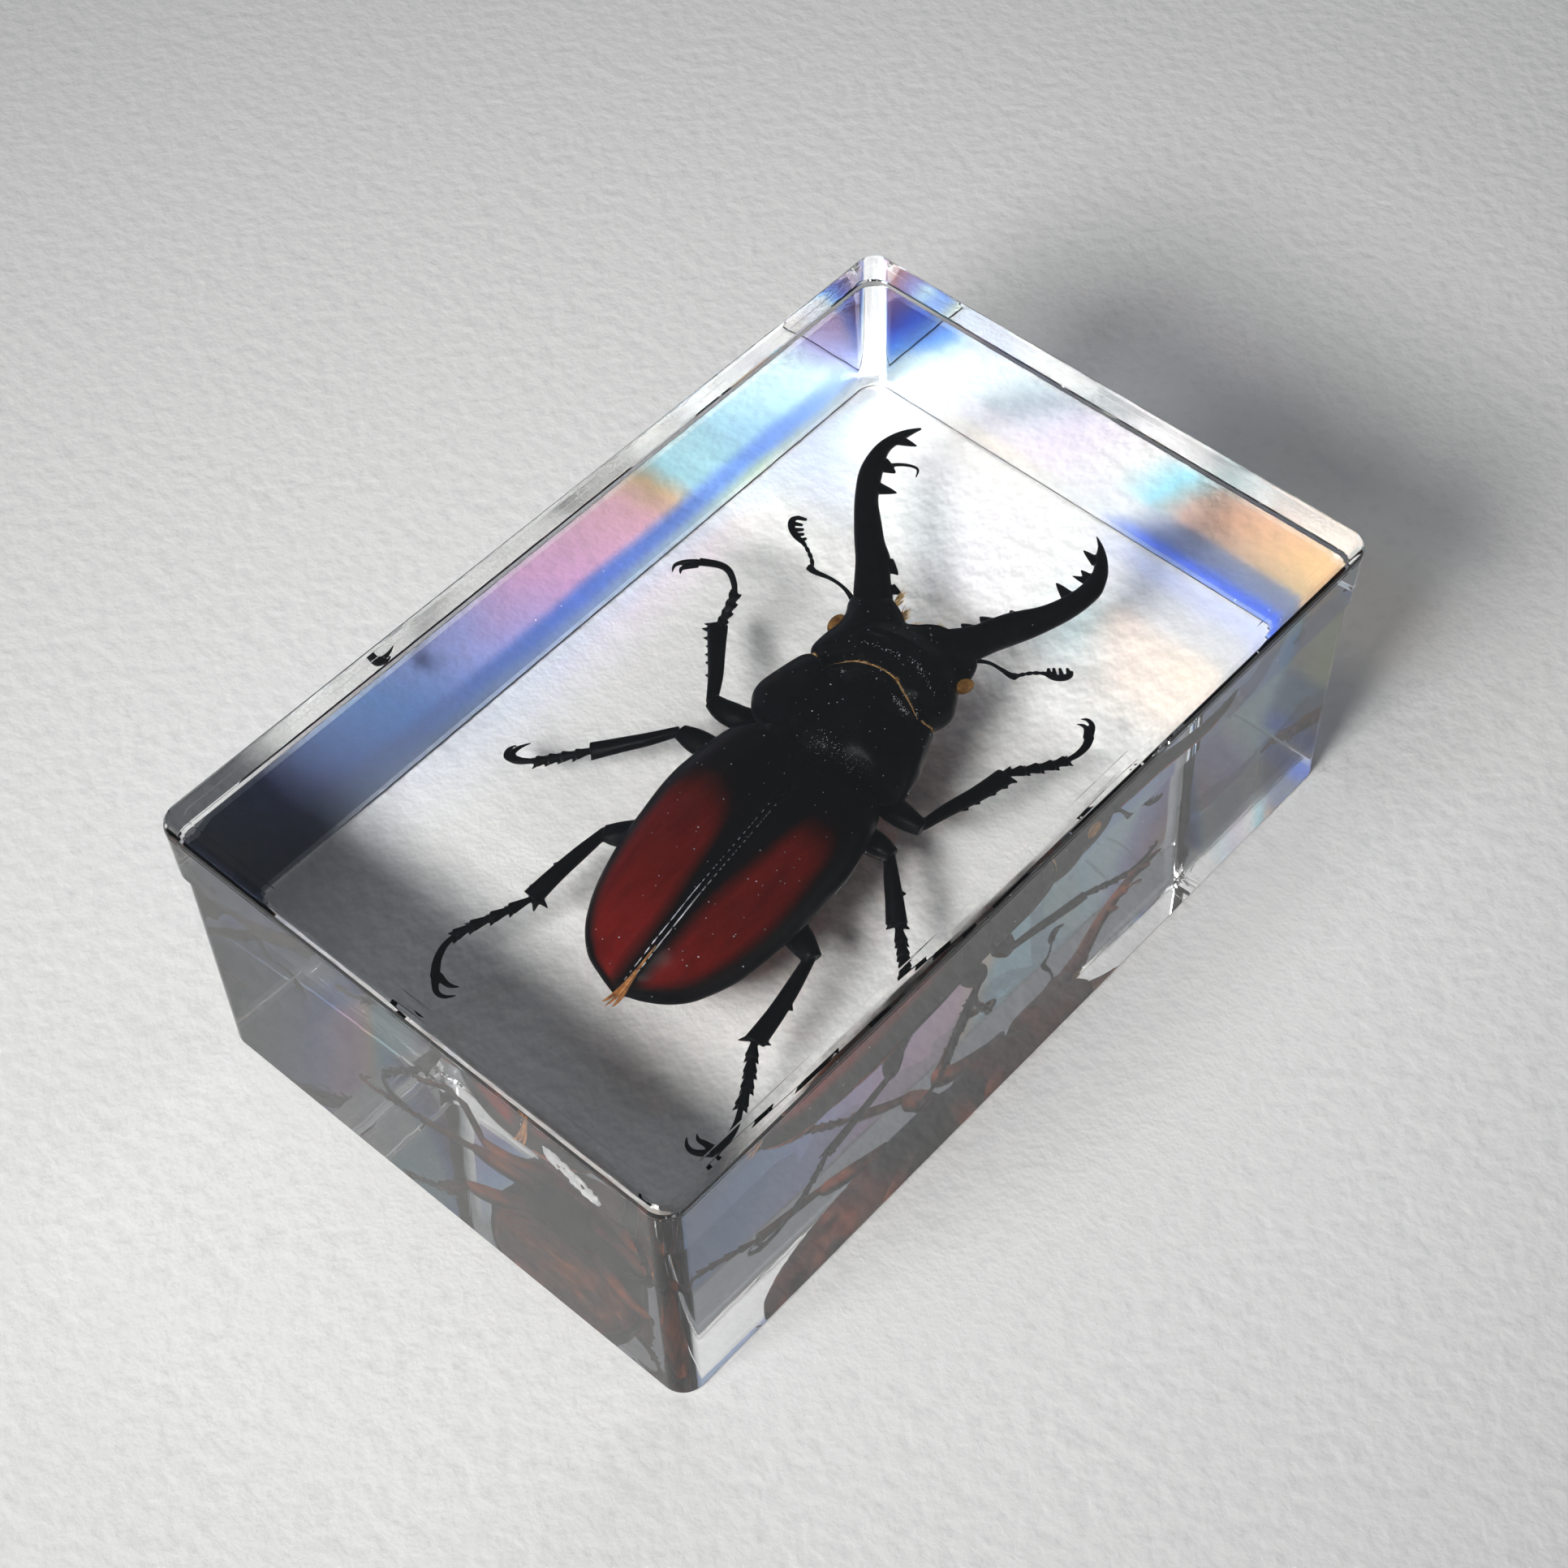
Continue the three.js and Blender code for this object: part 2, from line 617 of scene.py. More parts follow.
def underside():
    """Belly under the wing cases: jointed plates towards the tail and the smooth breast."""
    left = read_outline(LEFT_ELYTRON, EDGE_LEVEL)
    right = read_outline(RIGHT_ELYTRON, EDGE_LEVEL)

    def place(s, t):
        x = -34.0 + 36.0 * s
        low, high = along(right, x), along(left, x)
        inset = 0.5 * smooth(-34.6, -32.0, x)
        return x, low + inset + (high - low - 2 * inset) * t

    def over(x, t):
        return EDGE_LEVEL + 0.3 * math.sin(math.pi * t)

    def under(x, t):
        depth = along(BELLY_DEPTHS, x)
        groove = max(bump(x, joint, 0.22) for joint in BELLY_JOINTS)
        centre = bump(t, 0.5, 0.03) * smooth(-14.0, -12.0, x)
        return EDGE_LEVEL - depth * dome(abs(2 * t - 1), 2.6) + 0.32 * groove + 0.2 * centre

    def warmth(at, normal):
        patch = noise.noise(at * 0.35) * 0.5 + noise.noise(at * 1.1) * 0.3
        return smooth(-13.0, -20.0, at.x) * smooth(-0.25, 0.35, patch + 0.1)

    shape = sheet(place, over, under, 40, 120)
    build("abdomen_underside", shape, CHITIN, ("warm", warmth))


def saddle(x, y, centre, share, end_drop):
    """Low at the sides and high at the front and back, where it meets the next part of the body."""
    sideways = abs(y - centre[1]) / max(math.hypot(x - centre[0], y - centre[1]), 0.01)
    weight = smooth(0.25, 0.85, sideways)
    return weight * dome(share, 2.8) + (1 - weight) * (1 - end_drop * share ** 5)


def pronotum():
    """The shield behind the head, with a raised collar, a groove along it and a dimple on each side."""
    rim = read_outline(PRONOTUM, BODY_LEVEL)
    centre = tuple(seen(5.6, -3.7, BODY_LEVEL).xy)
    spot = seen(-0.3, -8.8, 22.0)

    def top(x, y, share):
        groove = 0.10 * bump(y - centre[1] - 0.16 * (x - centre[0]), 0.0, 0.5) * (1 - share ** 3)
        collar = 0.12 * bump(share, 0.965, 0.012)
        sides = bump(y, centre[1] + 6.3, 0.9) + bump(y, centre[1] - 6.3, 0.9)
        dimples = 0.25 * (bump(x, centre[0] - 1.0, 1.0) * sides)
        return BODY_LEVEL + BACK_RISE * saddle(x, y, centre, share, 0.28) - groove + collar - dimples

    def bottom(x, y, share):
        return BODY_LEVEL - BACK_DEPTH * dome(share, 2.4)

    def warmth(at, normal):
        brown = bump((at.xy - spot.xy).length, 0.0, 0.55) * smooth(0.0, 0.4, normal.z)
        return max(cool(at, normal), brown)

    shape = cushion(rim, centre, top, bottom)
    build("pronotum", shape, CHITIN, ("warm", warmth))


def head():
    """A broad head with a curved ridge, a hollow in front of it and two low knobs behind."""
    rim = read_outline(HEAD, BODY_LEVEL)
    centre = tuple(seen(15.4, -2.4, BODY_LEVEL).xy)

    def top(x, y, share):
        aside = y + 3.4
        crest = 17.5 - (aside / 4.4) ** 2
        window = smooth(7.0, 5.0, abs(aside))
        ridge = 0.40 * bump(x, crest, 0.6) * window
        hollow = 0.9 * smooth(crest, crest + 2.5, x) * window
        knobs = 0.35 * (bump(x, 13.2, 1.2) * (bump(aside, 4.3, 1.4) + bump(aside, -4.3, 1.4)))
        rise = HEAD_RISE - 1.2 * smooth(16.0, 22.0, x)
        relief = (ridge - hollow + knobs) * dome(share, 4)
        return BODY_LEVEL + rise * saddle(x, y, centre, share, 0.40) + relief

    def bottom(x, y, share):
        return BODY_LEVEL - HEAD_DEPTH * dome(share, 2.6)

    build("head", cushion(rim, centre, top, bottom), CHITIN, ("warm", cool))


def scutellum_and_waist():
    """The small plate between the wing cases, and the neck inside the body that joins its parts."""
    rim = read_outline(SCUTELLUM, 24.4)
    centre = tuple(seen(-2.4, -4.3, 24.4).xy)

    def plate_top(x, y, share):
        return PLATE_LEVEL + 0.5 * dome(share, 3)

    def plate_bottom(x, y, share):
        return PLATE_LEVEL - 0.05 - 2.5 * dome(share, 3)

    shape = cushion(rim, centre, plate_top, plate_bottom, rings=8, steps=4)
    waist = seen(-1.0, -4.1, BODY_LEVEL)
    rim = [(waist.x + u, waist.y + v + 0.14 * u) for u, v in NECK]

    def neck_top(x, y, share):
        return BODY_LEVEL + NECK_RADIUS * dome(share, 3)

    def neck_bottom(x, y, share):
        return BODY_LEVEL - NECK_RADIUS * dome(share, 3)

    neck = cushion(rim, tuple(waist.xy), neck_top, neck_bottom, rings=8, steps=4)
    shape.add(neck.verts, neck.faces)
    build("scutellum_and_waist", shape, CHITIN, ("warm", cool))


def cool(at, normal):
    """No warm colour, but a little on the parts that face down."""
    return 0.35 * smooth(-0.3, -0.8, normal.z)


def eyes():
    """Compound eyes at the sides of the head."""
    shape = Shape()
    left, right = seen(15.6, 6.2, EYE_LEVEL), seen(17.9, -9.75, EYE_LEVEL)
    shape.ball(left, (1.45, 0.95, 1.2), math.radians(12), rings=24, sides=36)
    shape.ball(right, (1.2, 0.85, 1.15), math.radians(-18), rings=24, sides=36)
    build("eyes", shape, EYE)


# ---------------------------------------------------------------- beetle: head parts

LEFT_JAW_OUTER = [
    (18, 5.8), (19.6, 7.4), (22, 9.3), (24, 10.9), (26, 12.8), (28, 14.6), (30, 16.3),
    (32, 17.8), (34, 19.1), (36, 19.9), (38, 20.3), (39.5, 20.3), (41, 20), (42.5, 19.3),
    (43.9, 18.3),
]
LEFT_JAW_INNER = [
    (20, 1.5), (21.7, 3.3), (24.5, 6.2), (26.6, 8), (28, 10), (30, 12.2), (32, 14.4),
    (33.7, 15.7), (35.8, 17), (37.8, 18.2), (39.2, 18.7), (40.4, 18.6), (41.6, 18.5), (42.8, 18.3),
    (43.8, 18),
]
RIGHT_JAW_OUTER = [
    (19.5, -8), (21.5, -8.4), (24, -9.2), (26, -10.1), (28, -11), (30, -11.7), (32, -12.3),
    (34, -12.7), (36, -12.9), (37.6, -12.8), (39, -12.3), (40.5, -11.5), (42, -10.2), (43.1, -8.8),
    (44, -7.1),
]
RIGHT_JAW_INNER = [
    (20, -2), (21.9, -2.8), (24.4, -4.9), (26.5, -5.8), (28.5, -6.7), (30, -7.7), (31.5, -8.8),
    (33.3, -9.6), (35.3, -10.2), (37.2, -10.4), (38.8, -10.3), (40.1, -9.8), (41.3, -9), (42.7, -8.3),
    (43.8, -7.2),
]
JAW_STATIONS = [
    (0, 18, 4), (0.15, 18.6, 3.7), (0.4, 19.4, 2.7), (0.7, 19.2, 2.3), (0.92, 18.3, 1.5),
    (1, 18, 0.4),
]
# Each tooth: the middle of its base and its tip, read in plan, its width and its height.
LEFT_TEETH = [
    ((40.9, 18.7), (41.45, 16.7), 1.1, 18.5), ((36.7, 17.9), (36.7, 15.9), 1.7, 18.9),
    ((33.6, 16), (34.5, 13.8), 1.4, 19.2),
    ((25.8, 7.9), (25.3, 5.8), 1.5, 19), ((23.3, 5.2), (23.4, 3.7), 1.2, 18.8),
    ((36.1, 17.6), (37.5, 16.6), 1, 18.9),
]
RIGHT_TEETH = [
    ((40.9, -9.6), (41.35, -7.3), 1.1, 18.5), ((38.5, -10.7), (38.9, -8.9), 1.1, 18.7),
    ((38.1, -10.7), (37.6, -8.7), 0.9, 18.7),
    ((34.9, -10.6), (35.7, -8), 1.4, 19), ((26.4, -6.3), (26.5, -4.8), 1.5, 19),
    ((24.4, -5.3), (24.4, -3.9), 1.3, 18.9),
    ((29, -7.6), (29.4, -6.7), 1, 19.3),
]
LEFT_JAW_SPINE = [
    (36.9, 17.4, 18.7), (38, 16.4, 18.5), (38.7, 15.2, 18.3), (38.7, 14.3, 18.2), (37.6, 13.7, 18.1),
]


def jaws():
    """The two long toothed mandibles."""
    both = (
        ("left_mandible", LEFT_JAW_OUTER, LEFT_JAW_INNER, LEFT_TEETH),
        ("right_mandible", RIGHT_JAW_OUTER, RIGHT_JAW_INNER, RIGHT_TEETH),
    )
    for name, outer, inner, teeth in both:
        shape = band(Shape(), outer, inner, JAW_STATIONS)
        for base, tip, width, height in teeth:
            shape.spike(seen(*base, height), seen(*tip, height - 0.2), width * 1.35)
        if name.startswith("left"):
            width = (0.62, 0.52, 0.44, 0.36, 0.2)
            shape.tube([(*p, w, w) for p, w in zip(read_path(LEFT_JAW_SPINE), width)], sides=8)
        piece = fuse(build(name, shape, CHITIN), LIMB_VOXEL)

        def warmth(at, normal):
            return 0.75 * smooth(0.0, -0.7, normal.z) * smooth(20.0, 24.0, at.x)

        mark(piece, "warm", warmth)


LEFT_ANTENNA = [
    [(19.3, 7), (20, 9), (20.1, 11), (19.7, 13), (19.8, 13.9)],
    [(20.3, 13.9), (20.9, 14.6), (21.4, 15.4), (21.8, 16.2), (22.1, 17)],
    [(22, 16.6), (22.3, 18.1), (22.9, 19.3), (23.8, 20), (24.7, 19.7)],
]
LEFT_LEAVES = [
    ((22.1, 17.3), (22.8, 17)), ((22.4, 18.2), (23.1, 17.6)), ((22.8, 18.9), (23.6, 18.1)),
    ((23.5, 19.6), (24, 18.6)), ((24.5, 19.7), (24.9, 18.8)),
]
RIGHT_ANTENNA = [
    [(21, -7.8), (22.1, -9.5), (22.3, -11), (22.3, -12.4), (22.5, -13)],
    [(22.9, -13.2), (23.5, -13.6), (24.1, -14.1), (24.6, -14.7), (25, -15.3)],
    [(24.9, -15.2), (25.1, -16.2), (25.7, -17), (26.4, -17.3), (27, -17.1)],
]
RIGHT_LEAVES = [
    ((25, -15.6), (25.7, -15)), ((25.2, -16.3), (26.1, -15.4)), ((25.7, -16.9), (26.5, -15.9)),
    ((26.5, -17.2), (27, -16.5)),
]
ELBOW_LEVEL = 16.0
CLUB_LEVEL = 15.6


def antennae():
    """Elbowed antennae: a long scape, small beads, and a club with leaves on one side."""
    both = (("left_antenna", LEFT_ANTENNA, LEFT_LEAVES), ("right_antenna", RIGHT_ANTENNA, RIGHT_LEAVES))
    sizes = ((0.8, 0.8), (0.5, 0.5), (0.5, 0.5), (0.75, 0.75), (1.0, 0.9))
    for name, (scape, beads, club), leaves in both:
        shape = Shape()
        path = [seen(*p, BODY_LEVEL - 0.5 * k) for k, p in enumerate(scape)]
        shape.tube([(*p, *size) for p, size in zip(path, sizes)], sides=12)
        elbow = (seen(*scape[-1], ELBOW_LEVEL), seen(*beads[0], ELBOW_LEVEL))
        shape.tube([(*elbow[0], 0.8, 0.8), (*elbow[1], 0.5, 0.5)], sides=10)
        for k, (start, end) in enumerate(zip(beads, beads[1:])):
            z = ELBOW_LEVEL - 0.15 * k
            middle = ((start[0] + end[0]) / 2, (start[1] + end[1]) / 2)
            shape.tube([
                (*seen(*start, z), 0.35, 0.35), (*seen(*middle, z), 0.55, 0.55), (*seen(*end, z), 0.4, 0.4),
            ], sides=10)
        widths = (0.5, 0.8, 0.85, 0.8, 0.45)
        shape.tube([(*seen(*p, CLUB_LEVEL), w, w) for p, w in zip(club, widths)], sides=12)
        for base, tip in leaves:
            a, b = seen(*base, CLUB_LEVEL), seen(*tip, CLUB_LEVEL - 0.1)
            shape.tube([(*a, 0.6, 0.7), (*a.lerp(b, 0.5), 0.5, 0.62), (*b, 0.34, 0.4)], sides=10)
        fuse(build(name, shape, CHITIN), FINE_VOXEL, smoothing=1)


# ---------------------------------------------------------------- beetle: legs

# Joints of each leg, read in plan, and with a height for the femur and tibia. Spines are (base, tip), and
# claws are two curves. lift is how far each tarsal joint rises over the last; the other legs sink there.
LEGS = {
    "left_front_leg": {
        "lift": 1.3,
        "femur": [(3.2, -0.5, 13.6), (-0.3, 4, 14.4), (-1.2, 7, 14.8), (-1.1, 9.3, 14.8)],
        "tibia": [(-1.3, 9.2, 14.8), (1.5, 11.2, 14.3), (4.3, 13.6, 13.3), (7, 15.9, 12.2)],
        "spines": [((1.4, 11.5), (1, 12.3)), ((2.7, 12.7), (2.3, 13.5)), ((3.6, 13.4), (3.1, 14.3)),
                   ((4.5, 14.2), (4, 15)), ((5.3, 15), (4.7, 16)), ((6.2, 15.8), (5.5, 17.1)),
                   ((7, 16), (6.2, 17.3))],
        "tarsus": [(7, 15.7), (8, 16), (9.1, 16.4), (10.3, 16.9), (11.5, 17.5)],
        "toe": [(11.5, 17.5), (12.6, 18.6), (13.6, 20.2), (13.6, 21.7), (12.5, 23.7)],
        "claws": [[(12.3, 23.8), (11.5, 24.8), (10.4, 25.4), (9.4, 24.9)],
                  [(12.1, 23.5), (11.1, 24.2), (10.4, 24.5), (9.8, 24)]],
    },
    "left_middle_leg": {
        "femur": [(-6, -1, 13.2), (-6, 4, 13.8), (-6.2, 7, 14.2), (-6.4, 9, 14.2)],
        "tibia": [(-6.3, 9.1, 14.2), (-9.2, 10.8, 13.5), (-12, 12.7, 12.7), (-14.4, 14.3, 11.9)],
        "spines": [((-12, 12.2), (-12.9, 12)), ((-14.2, 14), (-15.4, 13.4)),
                   ((-14.5, 14.4), (-14.9, 15.3)), ((-13.6, 14.2), (-13.8, 15.2))],
        "tarsus": [(-14.6, 14.5), (-15.7, 15.2), (-16.9, 16.1), (-18, 16.9), (-19.1, 17.7)],
        "toe": [(-19.1, 17.7), (-19.7, 18.4), (-20.2, 19), (-20.5, 19.6)],
        "claws": [[(-20.5, 19.5), (-20.1, 20.4), (-19, 20.4), (-17.8, 19.9)],
                  [(-20.6, 19.6), (-20.8, 20.6), (-20, 21.1), (-19, 20.9)]],
    },
    "left_hind_leg": {
        "femur": [(-14, -1.5, 13.2), (-18.5, 2.8, 13.8), (-20.4, 4.6, 14), (-21.3, 5.9, 14)],
        "tibia": [(-20.9, 5.9, 14), (-24.5, 6, 13.4), (-28.5, 6, 12.7), (-32, 5.8, 12)],
        "spines": [((-30.4, 6.4), (-31.2, 7.1)), ((-32, 5.2), (-33.2, 4.4)),
                   ((-31.6, 5.1), (-31.9, 3.6)), ((-27, 6.4), (-27.6, 7.2))],
        "tarsus": [(-32.3, 5.8), (-34.3, 6.4), (-36.3, 7.1), (-38.4, 7.9), (-40.3, 8.4)],
        "toe": [(-40.3, 8.4), (-42, 8.3), (-43.7, 7.6), (-45.3, 6.3)],
        "claws": [[(-45.2, 6.4), (-46.4, 5), (-46.3, 3.9), (-45.4, 3.1)],
                  [(-44.9, 6.2), (-45.1, 4.9), (-44.9, 4.2), (-44.5, 3.6)]],
    },
    "right_front_leg": {
        "femur": [(4, -7.5, 13.6), (1, -13, 14.2), (0.5, -16, 14.6), (0.6, -18.6, 14.6)],
        "tibia": [(0.8, -18.3, 14.6), (4.2, -19, 14), (7.8, -20, 13.1), (11.4, -20.7, 12.2)],
        "spines": [((5.2, -19.8), (5.6, -20.7)), ((6.6, -20.2), (7, -21.1)),
                   ((8.5, -20.7), (9, -21.6)), ((10.1, -21.1), (10.5, -22)),
                   ((11.3, -21.2), (11.7, -22.3)), ((11.6, -20.5), (12.9, -20.3))],
        "tarsus": [(11.8, -20.7), (13.2, -21.6), (14.5, -22.6), (15.8, -23.5), (17.1, -24.2)],
        "toe": [(17.1, -24.2), (18.5, -24.6), (20, -24.6), (21.3, -24.1)],
        "claws": [[(21.2, -24.1), (22.5, -23.5), (22.9, -22.6), (22.5, -21.9)],
                  [(20.9, -24), (21.8, -23.3), (22, -22.7), (21.7, -22)]],
    },
    "right_middle_leg": {
        "femur": [(-4, -8, 13.2), (-4.2, -14, 13.8), (-4.1, -16.5, 14), (-4.1, -18.5, 14)],
        "tibia": [(-4.2, -18.2, 14), (-6.2, -20.2, 13.4), (-8.2, -22.3, 12.7), (-10.2, -24.3, 12)],
        "spines": [((-10.3, -24.1), (-11.5, -23.9)), ((-10, -24.5), (-9.8, -25.8)),
                   ((-7.2, -22), (-6.7, -22.7))],
        "tarsus": [(-10.3, -24.6), (-11.5, -26), (-12.6, -27.2), (-13.6, -28.3), (-14.8, -29.2)],
        "toe": [(-14.8, -29.2), (-16, -30.1), (-17.2, -31), (-18.4, -31.6)],
        "claws": [[(-18.3, -31.6), (-19.4, -31.9), (-20.1, -31.6), (-20.3, -30.8)],
                  [(-18.1, -31.4), (-18.9, -31.3), (-19.3, -30.8), (-19.2, -30.2)]],
    },
    "right_hind_leg": {
        "femur": [(-13, -11, 13.2), (-17, -16, 13.8), (-18.1, -18.5, 14), (-18.9, -20.8, 14)],
        "tibia": [(-18.9, -20.4, 14), (-22.5, -21.4, 13.4), (-26.3, -22.3, 12.7), (-30, -22.9, 12)],
        "spines": [((-29.8, -22.4), (-31, -21.5)), ((-29.6, -23.2), (-29.2, -24.5)),
                   ((-24.6, -22.5), (-24.9, -23.4))],
        "tarsus": [(-30.1, -22.9), (-31.4, -23.8), (-32.9, -24.9), (-34.4, -25.9), (-36.2, -26.8)],
        "toe": [(-36.2, -26.8), (-38.4, -28), (-40.5, -28.4), (-42.3, -28.1)],
        "claws": [[(-42.2, -28.1), (-43.1, -26.9), (-43, -25.9), (-42.3, -25.2)],
                  [(-41.6, -28.1), (-41.7, -27), (-41.8, -26.3), (-41.4, -25.7)]],
    },
}
FEMUR_SIZES = ((3, 2.6), (3.3, 2.8), (3.1, 2.6), (2, 2))
TIBIA_SIZES = ((1.25, 1.3), (1.7, 1.5), (2, 1.6), (2.35, 1.7))
TARSUS_SIZES = ((0.65, 0.6), (1.15, 0.95), (1.5, 1.1), (0.9, 0.8))
SPINE_WIDTH = 0.95


def legs():
    """Six legs: thigh, toothed shin, four small tarsal joints, a long last one, and two claws."""
    for name, parts in LEGS.items():
        shape = Shape()
        thigh = read_path(parts["femur"])
        shape.tube([(*p, *s) for p, s in zip(thigh, FEMUR_SIZES)], sides=18)
        shin = read_path(parts["tibia"])
        shape.tube([(*p, *s) for p, s in zip(shin, TIBIA_SIZES)], sides=16)
        end_level = shin[-1][2]
        knee, ankle = parts["tibia"][0][:2], parts["tibia"][-1][:2]
        for base, tip in parts["spines"]:
            share = math.dist(base, knee) / math.dist(ankle, knee)
            level = shin[0][2] + (end_level - shin[0][2]) * min(share, 1.0)
            shape.spike(seen(*base, level), seen(*tip, level - 0.3), SPINE_WIDTH)
        lift = parts.get("lift", -0.45)
        joints = [seen(*p, end_level + lift * k) for k, p in enumerate(parts["tarsus"])]
        for start, end in zip(joints, joints[1:]):
            forward = (end - start).normalized()
            aside = forward.cross(Vector((0, 0, 1))).normalized()
            centres = (start - forward * 0.1, start.lerp(end, 0.6), end, end + forward * 0.15)
            shape.tube([(*p, *s) for p, s in zip(centres, TARSUS_SIZES)], sides=12, steps=4)
            for way in (1, -1):
                root = end + aside * way * 0.3 - Vector((0, 0, 0.2))
                shape.spike(root, root + forward * 0.75 + aside * way * 0.5 - Vector((0, 0, 0.25)), 0.6)
        low = joints[-1].z
        toe = [seen(*p, low + lift * k / 3) for k, p in enumerate(parts["toe"])]
        widths = [0.6 + 0.5 * k / (len(toe) - 1) for k in range(len(toe))]
        shape.tube([(*p, w, w * 0.95) for p, w in zip(toe, widths)], sides=12)
        for claw in parts["claws"]:
            points = [seen(*p, toe[-1].z - 0.1 * k) for k, p in enumerate(claw)]
            shape.tube([(*p, w, w) for p, w in zip(points, (0.9, 0.7, 0.5, 0.16))], sides=10)
        piece = fuse(build(name, shape, CHITIN), LIMB_VOXEL)
        front, back = Vector(thigh[1]), Vector(thigh[2])

        def warmth(at, normal):
            near = min((at - p).length for p in (front, back, front.lerp(back, 0.5)))
            return smooth(-0.1, -0.75, normal.z) * (0.25 + 0.75 * smooth(3.2, 1.8, near))

        mark(piece, "warm", warmth)


# ---------------------------------------------------------------- beetle: hairs, wing tip, trapped air

WING_STRANDS = (
    ((-28, -7.75, 23.4), (-31, -8.3, 22.1), (-33.8, -8.85, 20.2), (-35.4, -9, 18.7), (-36.6, -8.9, 18)),
    ((-30.5, -8.35, 22.2), (-32.6, -8.8, 21), (-34.4, -9.3, 19.4), (-35.6, -9.5, 18.4), (-36.2, -9.5, 17.9)),
    ((-31.5, -8.25, 21.9), (-33.2, -8.5, 20.7), (-34.8, -8.6, 19), (-35.8, -8.5, 18.2), (-36.4, -8.3, 17.8)),
)


def hindwing_tip():
    """The folded membrane that sticks out between the wing cases at the tail."""
    shape = Shape()
    sizes = ((0.14, 0.12), (0.3, 0.2), (0.46, 0.24), (0.36, 0.2), (0.1, 0.1))
    for strand in WING_STRANDS:
        shape.tube([(*seen(*p), *size) for p, size in zip(strand, sizes)], sides=12)
    build("hindwing_tip", shape, WING)


FRINGE_HAIRS = 420
# The brushes at the mouth: the two plan ends of each, and its number of hairs.
BRUSHES = (
    ((21.6, 3), (23.2, 3.8), 70),
    ((20.7, 1.1), (21.7, 2), 45),
    ((20.2, 0), (20.9, -1.4), 60),
    ((21, -1.8), (22.3, -2.7), 45),
)


def hairs(back, front):
    """Golden hairs: a fringe where the pronotum meets the head, and brushes at the mouth."""
    rng = random.Random(7)
    shape = Shape()
    fringe = even(spline(read_outline(PRONOTUM_FRONT, BODY_LEVEL), 8), FRINGE_HAIRS)
    for k, (x, y) in enumerate(fringe):
        x -= 0.02
        z = 18.6
        for piece in (back, front):
            hit, at, _, _ = piece.ray_cast(Vector((x, y, 30)) * MM, DOWN)
            z = max(z, at.z / MM) if hit else z
        start = Vector((x, y, z + 0.02))
        lean = Vector((rng.uniform(0.25, 0.5), rng.uniform(-0.2, 0.2), rng.uniform(0.04, 0.18)))
        length = 0.85 + 0.5 * noise.noise(Vector((k * 0.045, 0.3, 0.0)))
        shape.spike(start, start + lean * length * rng.uniform(0.6, 1.0), 0.11, sides=5)
    for (x0, y0), (x1, y1), count in BRUSHES:
        for _ in range(count):
            share = rng.random()
            root = seen(x0 + (x1 - x0) * share - 0.4, y0 + (y1 - y0) * share, rng.uniform(17.6, 19.4))
            lean = Vector((rng.uniform(0.6, 1.6), rng.uniform(-0.5, 0.5), rng.uniform(-0.2, 0.6)))
            shape.spike(root, root + lean, 0.13, bend=(0, 0, rng.uniform(-0.1, 0.15)), sides=5)
    build("golden_hairs", shape, BRISTLE)


def trapped_air():
    """Broken silvery lines of air along both sides of the suture."""
    rng = random.Random(11)
    shape = Shape()
    ridge_y, ridge_z = suture()
    tail, front = -34.5, -9.0
    for side in (1, -1):
        x = tail
        while x < front:
            fullness = bump(x, -27.0, 6.0)
            end = x + rng.uniform(0.2, 0.5) + 5.0 * fullness ** 2 * rng.random()
            path = []
            for k in range(6):
                place = x + (end - x) * k / 5
                width = (0.05 + 0.10 * fullness) * rng.uniform(0.5, 1.3) * (0.3 if k in (0, 5) else 1.0)
                beside = along(ridge_y, place) + 0.33 * side
                path.append((place, beside, along(ridge_z, place) + 0.14, width, 0.07))
            shape.tube(path, sides=8, steps=2)
            x = end + rng.uniform(0.05, 0.2) + 0.6 * (1 - fullness) * rng.random()
    build("suture_air_lines", shape, AIR)


# Silvery glints on the cuticle, pale specks of air in its pits whose colour paints their highlights: piece,
# the two plan ends of a row, its spread, their count and size.
GLINTS = (
    ("pronotum", (2, -2.4), (2.2, -8.4), 0.85, 170, 0.034),
    ("pronotum", (12, -5.2), (11.6, -7.2), 0.22, 60, 0.06),
    ("pronotum", (11.2, 1.9), (10.9, 1.2), 0.14, 14, 0.06),
    ("head", (15.9, 2.6), (17.3, -3.4), 0.16, 42, 0.045),
    ("head", (17.3, -3.4), (15.6, -7.6), 0.16, 34, 0.045),
    ("head", (13, -7), (12, -8.6), 0.20, 22, 0.05),
)


